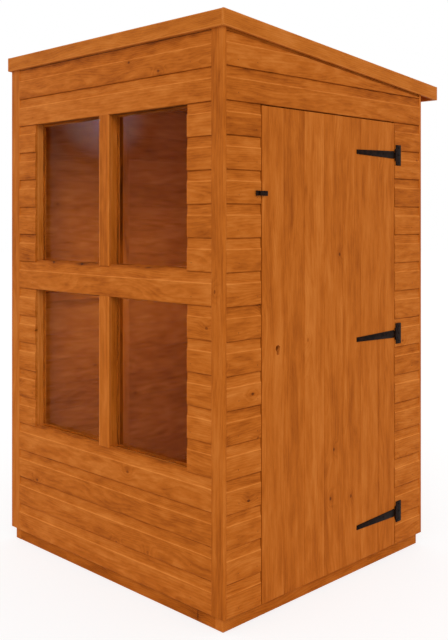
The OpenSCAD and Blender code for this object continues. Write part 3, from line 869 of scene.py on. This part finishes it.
def keyhole_cutter():
    """A round eye over a narrowing slot, run through the leaf and the ledge behind it."""
    lo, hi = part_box("door_boards")
    y, z = lo.y + KEYHOLE_EDGE, (lo.z + hi.z) / 2 + KEYHOLE_RISE
    outline = []
    for i in range(EYE_STEPS + 1):
        angle = math.radians(EYE_FROM + EYE_SWEEP * i / EYE_STEPS)
        outline.append((y + KEYHOLE_R * math.cos(angle), z + KEYHOLE_R * math.sin(angle)))
    outline += [(y + side * KEYHOLE_FOOT, z - KEYHOLE_DROP) for side in (-1, 1)]
    mesh = bpy.data.meshes.new("cutter")
    count = len(outline)
    past = 5 * MM
    points = [(x, a, b) for x in (low("door_ledges").x - past, hi.x + past) for a, b in outline]
    sides = [(i, (i + 1) % count, count + (i + 1) % count, count + i) for i in range(count)]
    mesh.from_pydata(points, [], [*sides, range(count - 1, -1, -1), range(count, 2 * count)])
    cutter = bpy.data.objects.new("cutter", mesh)
    bpy.context.scene.collection.objects.link(cutter)
    return cutter


def bore(piece, place):
    """Cuts the keyhole through boards that lie along place. Corners that the cut makes carry on
    the grain of the nearest old one."""
    cutter, old = keyhole_cutter(), piece.data
    cut = piece.modifiers.new("keyhole", "BOOLEAN")
    cut.operation = "DIFFERENCE"
    cut.solver = "EXACT"
    cut.object = cutter
    bpy.context.view_layer.update()
    bored = piece.evaluated_get(bpy.context.evaluated_depsgraph_get())
    drilled = bpy.data.meshes.new_from_object(bored)
    piece.modifiers.clear()
    piece.data = drilled
    bpy.data.objects.remove(cutter)
    corners = KDTree(len(old.vertices))
    for vert in old.vertices:
        corners.insert(vert.co, vert.index)
    corners.balance()
    turn = place.to_3x3().transposed()
    for vert in drilled.vertices:
        found, nearest, distance = corners.find(vert.co)
        grain = old.attributes["wood"].data[nearest].vector + turn @ (vert.co - found)
        tone = old.attributes["tone"].data[nearest].value
        drilled.attributes["wood"].data[vert.index].vector = grain
        drilled.attributes["tone"].data[vert.index].value = tone
        if distance > NEW_CORNER:
            drilled.attributes["stain_wear_and_shading"].data[vert.index].value = 0


def make_leaf():
    """The door's upright boards, with the keyhole bored through."""
    lo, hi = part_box("door_boards")
    piece = Piece()
    place = axes(Z, Y, -X, (hi.x, lo.y, lo.z))
    matched_boards(piece, place, hi.y - lo.y, hi.x - lo.x, DOOR_COUNT, hi.z - lo.z, 0.9 * MM)
    bore(piece.build("door_leaf_boards", "door", "timber", STAINED, "door_boards"), place)


def make_ledges():
    """Ledges with chamfered inner edges, and the braces between them."""
    ledges, braces = Piece(), Piece()
    for part in solids("door_ledges"):
        lo, hi = span(part)
        w, d, c = hi.z - lo.z, hi.x - lo.x, LEDGE_CHAMFER
        corners = [(c, 0, 0.5), (w - c, 0, 0.5), (w, c, 0.5), (w, d, -1), (0, d, -1), (0, c, 0.5)]
        outline = faded(corners, WEAR_REACH)
        place = axes(Y, Z, X, lo)
        ledges.prism(outline, place, hi.y - lo.y, end=c)
    bore(ledges.build("ledge_bars", "door", "timber", FRAMING, "door_ledges"), place)
    for part in solids("door_braces"):
        lo, hi = span(part)
        foot = min(p.y for p in part if p.z < lo.z + MM)
        top = min(p.y for p in part if p.z > hi.z - MM)
        width = max(p.y for p in part if p.z < lo.z + MM) - foot
        rise = Vector((0, top - foot, hi.z - lo.z))
        place = axes(rise.normalized(), Y, X, (lo.x, foot, lo.z))
        braces.prism(rounded(width, hi.x - lo.x, 1.5 * MM), place, rise.length)
    braces.build("brace_bars", "door", "timber", FRAMING, "door_braces")


# ---- Ironwork ----

HALF_SLOT = 0.45 * MM
SLOT_TURN = 0.6
HEAD_STEPS = 5
SMALL_RISE = 0.7 * MM
STRAP_T = 2.5 * MM
STRAP_SCREWS = (0.06, 0.36, 0.68)
PLATE_EDGE = 15 * MM
PLATE_PITCH = 30 * MM
HASP_T, STAPLE_T = 2 * MM, 1.5 * MM
CAP_R = 8 * MM
CAP_SHARE = 0.30
CAP_RISE = 12 * MM


def screw(piece, place, radius=3.4 * MM, rise=1.1 * MM):
    """A slotted screw head that stands along the first axis of place: a disc under two halves."""
    piece.prism(circle(radius), place, 0.5 * rise, end=0.2 * MM, wobble=0)
    reach = math.acos(HALF_SLOT / radius)
    inner = 0.97 * radius
    half = []
    for i in range(2 * HEAD_STEPS + 1):
        angle = reach * (i / HEAD_STEPS - 1)
        half.append((inner * math.cos(angle), inner * math.sin(angle), 0))
    for turn in (SLOT_TURN, SLOT_TURN + math.pi):
        side = place @ Matrix.Rotation(turn, 4, "X")
        piece.prism(half, side, rise, end=0.35 * MM, wobble=0)


def outward(x, y, z):
    """A place on the right wall's outer side, facing out of the building."""
    return axes(X, Y, Z, (x, y, z))


def make_hinges():
    """T-hinges: tapering straps on the leaf and upright plates on the wall, each screwed."""
    straps, plates = Piece(), Piece()
    straps.bevelled("hinge_straps", 0.6 * MM)
    plates.bevelled("hinge_plates", 0.6 * MM)
    strap_lo, strap_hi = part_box("hinge_straps")
    plate_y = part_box("hinge_plates")[1].y - PLATE_EDGE
    face = X_OUT + STRAP_T
    ledge_boxes = [span(part) for part in solids("door_ledges")]
    heights = sorted((lo.z + hi.z) / 2 for lo, hi in ledge_boxes)
    length = strap_hi.y - strap_lo.y
    for z in heights:
        for share in STRAP_SCREWS:
            screw(straps, outward(face, strap_lo.y + share * length, z))
        for side in (-1, 1):
            screw(plates, outward(face, plate_y, z + side * PLATE_PITCH))
        screw(plates, outward(face, plate_y, z))
    straps.build("tee_hinge_straps", "door", "black_metal", BLACK, "hinge_straps")
    plates.build("tee_hinge_plates", "shed", "black_metal", BLACK, "hinge_plates")


def make_hasp():
    """The hasp's plate, its strap and the staple. The plate and the staple have two screws each."""
    for node, body, name in (("hasp_plate", "door", "hasp_fixed_plate"),
                             ("hasp_strap", "hasp", "hasp_swing_strap"),
                             ("hasp_staple", "shed", "hasp_staple_loop")):
        piece = Piece()
        piece.bevelled(node, 0.4 * MM)
        lo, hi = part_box(node)
        y, z = (lo.y + hi.y) / 2, (lo.z + hi.z) / 2
        for side in (-1, 1):
            if node == "hasp_plate":
                place = outward(lo.x + HASP_T, hi.y - 5.5 * MM, z + side * 4.5 * MM)
                screw(piece, place, 1.9 * MM, SMALL_RISE)
            if node == "hasp_staple":
                off = side * 5.2 * MM
                screw(piece, outward(lo.x + STAPLE_T, y + off, z - off), 1.8 * MM, SMALL_RISE)
        piece.build(name, body, "black_metal", BLACK, node)


def inward(x, y, z):
    """A place that faces into the building."""
    return axes(-X, Y, Z, (x, y, z))


def make_lock():
    """The rim lock on the middle ledge, with four screws and a low round cap, and its keep."""
    lo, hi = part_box("rim_lock")
    case, keep = Piece(), Piece()
    case.bevelled("rim_lock", 1.5 * MM)
    z = (lo.z + hi.z) / 2
    rim = 5 * MM
    for y in (lo.y + rim, hi.y - rim):
        for height in (lo.z + rim, hi.z - rim):
            screw(case, inward(lo.x, y, height), 2.4 * MM, 0.8 * MM)
    cap = inward(lo.x, lo.y + CAP_SHARE * (hi.y - lo.y), z + CAP_RISE)
    case.prism(circle(CAP_R, 24), cap, 1.5 * MM, end=0.5 * MM, wobble=0)
    case.build("rim_lock_case", "door", "black_metal", BLACK, "rim_lock")
    keep.bevelled("lock_keep", 1 * MM)
    keep.build("lock_keep_box", "shed", "black_metal", BLACK, "lock_keep")


# ---- Nails ----

# TRIM_ROOM keeps the back wall's outer nails clear of the corner trims. NAIL_LOW and NAIL_HIGH
# are how far above its board's foot a nail can be, and NAIL_STRAY is how far out of line.
HALF_STUD = 19 * MM
TRIM_ROOM = 45 * MM
FULL_STUD = 1.0
NAIL_R = 2.0 * MM
NAIL_HEAD = 0.35 * MM
NAIL_STRAY = 3
NAIL_LOW, NAIL_HIGH = 22, 30


def nail_line(piece, wall, along):
    """A nail through each course of a wall, in a rough line that stands at `along`."""
    for row in range(TOP_ROW):
        across = along + DRAW.uniform(-NAIL_STRAY, NAIL_STRAY) * MM
        height = SKIRT + row * COVER + DRAW.uniform(NAIL_LOW, NAIL_HIGH) * MM
        place = wall @ Matrix.Translation((across, height, 0)) @ axes(-Z, X, Y)
        piece.prism(circle(NAIL_R, 10), place, NAIL_HEAD, end=0.2 * MM, wobble=0)


def make_nails():
    """Nails over the studs. The short stud over the door gets none."""
    piece = Piece()
    for x in (-WINDOW_X - HALF_STUD, WINDOW_X + HALF_STUD):
        nail_line(piece, FRONT_WALL, x)
    for x in (-X_CLAD + HALF_STUD + TRIM_ROOM, 0, X_CLAD - HALF_STUD - TRIM_ROOM):
        nail_line(piece, BACK_WALL, x)
    for part in solids("left_studs"):
        lo, hi = span(part)
        nail_line(piece, LEFT_WALL, (lo.y + hi.y) / 2)
    for part in solids("right_studs"):
        lo, hi = span(part)
        if hi.z - lo.z > FULL_STUD:
            nail_line(piece, RIGHT_WALL, (lo.y + hi.y) / 2)
    piece.build("cladding_nails", "shed", "black_metal", NAIL)


# ---- Stage and light ----

FLOOR_REACH = 30
SKY_LIGHT = 0.66
SOFTBOX_R = 0.38
SOFTBOX_GLOW = 14


def make_stage():
    """A pale floor that keeps the object's shadow, under an even white sky."""
    mesh = bpy.data.meshes.new("floor")
    signs = ((-1, -1), (1, -1), (1, 1), (-1, 1))
    corners = [(FLOOR_REACH * a, FLOOR_REACH * b, 0) for a, b in signs]
    mesh.from_pydata(corners, [], [(0, 1, 2, 3)])
    floor = bpy.data.objects.new("floor", mesh)
    bpy.context.scene.collection.objects.link(floor)
    m = Nodes("floor")
    m.tree.nodes.remove(m.shader)
    path = m.add("LightPath")
    by_glass = m.math("MAXIMUM", path.outputs["Is Glossy Ray"],
                      path.outputs["Is Transmission Ray"])
    shown = m.math("MAXIMUM", path.outputs["Is Camera Ray"], by_glass)
    matt = m.add("BsdfDiffuse", Color=(0.4, 0.4, 0.4, 1))
    glow = m.add("Emission", Color=(0.69, 0.69, 0.69, 1), Strength=1.0)
    soft = m.add("AddShader", i0=matt.outputs[0], i1=glow.outputs[0])
    plain = m.add("BsdfDiffuse", Color=(0.8, 0.8, 0.8, 1))
    mix = m.add("MixShader", i0=shown, i1=plain.outputs[0], i2=soft.outputs[0])
    m.tree.links.new(mix.outputs[0], m.tree.nodes["Material Output"].inputs["Surface"])
    mesh.materials.append(m.material)


def make_sky():
    """An even sky: white where it is seen, a little lower where it lights."""
    world = bpy.data.worlds.new("sky")
    world.use_nodes = True
    tree = world.node_tree
    path = tree.nodes.new("ShaderNodeLightPath")
    seen = path.outputs["Is Camera Ray"]
    for ray in ("Is Glossy Ray", "Is Transmission Ray"):
        either = tree.nodes.new("ShaderNodeMath")
        either.operation = "MAXIMUM"
        tree.links.new(seen, either.inputs[0])
        tree.links.new(path.outputs[ray], either.inputs[1])
        seen = either.outputs[0]
    strength = tree.nodes.new("ShaderNodeMapRange")
    tree.links.new(seen, strength.inputs["Value"])
    strength.inputs["To Min"].default_value = SKY_LIGHT
    tree.links.new(strength.outputs[0], tree.nodes["Background"].inputs["Strength"])
    tree.nodes["Background"].inputs["Color"].default_value = (1, 1, 1, 1)
    bpy.context.scene.world = world
    bpy.context.scene.view_settings.view_transform = "Standard"


def lamp(name, kind, energy, colour, place, target, **settings):
    """A lamp that is aimed at a target and hidden from the camera."""
    data = bpy.data.lights.new(name, kind)
    data.energy = energy
    data.color = colour
    for key, value in settings.items():
        setattr(data, key, value)
    light = bpy.data.objects.new(name, data)
    light.location = place
    light.rotation_euler = (Vector(target) - Vector(place)).to_track_quat("-Z", "Y").to_euler()
    light.visible_camera = False
    bpy.context.scene.collection.objects.link(light)


def make_softbox():
    """A round lamp cover off to the left, which shows only as a reflection in the upper panes."""
    mesh = bpy.data.meshes.new("softbox")
    mesh.from_pydata([(a, b, 0) for a, b, _ in circle(SOFTBOX_R, 32)], [], [range(32)])
    box = bpy.data.objects.new("softbox", mesh)
    place, target = Vector((-2.43, -2.43, 2.12)), Vector((0, Y_FRONT, HEAD))
    box.location = place
    box.rotation_euler = (target - place).to_track_quat("Z", "Y").to_euler()
    bpy.context.scene.collection.objects.link(box)
    m = Nodes("softbox")
    m.tree.nodes.remove(m.shader)
    away = m.add("VectorMath", {"operation": "LENGTH"}, i0=m.add("TexCoord").outputs["Object"])
    glow = m.between(away.outputs["Value"], 0.1 * SOFTBOX_R, SOFTBOX_R, SOFTBOX_GLOW, 0)
    shine = m.add("Emission", Color=(0.92, 0.95, 1, 1), Strength=glow)
    m.tree.links.new(shine.outputs[0], m.tree.nodes["Material Output"].inputs["Surface"])
    mesh.materials.append(m.material)
    box.visible_camera = box.visible_diffuse = box.visible_transmission = box.visible_shadow = False


def make_lamps():
    """A broad key from the front corner, and daylight that the room gets through its panes."""
    lamp("key", "SUN", energy=1.1, colour=(1, 1, 1), place=(3, -3, 3.4), target=(0, 0, 1),
         angle=math.radians(35))
    middle = (SILL + HEAD) / 2
    lamp("room", "AREA", energy=2.85, colour=(1, 0.98, 0.95),
         place=(0.08, Y_FRONT + 0.28, middle - 0.08), target=(-0.35, 0.5, middle - 0.25),
         shape="RECTANGLE", size=WINDOW_X, size_y=0.55 * (HEAD - SILL))


make_cladding()
make_framing()
make_trims()
make_mullions()
make_beads()
make_glass()
make_floor()
make_roof_boards()
make_felt()
make_fascias()
make_leaf()
make_ledges()
make_hinges()
make_hasp()
make_lock()
make_nails()
make_stage()
make_sky()
make_lamps()
make_softbox()
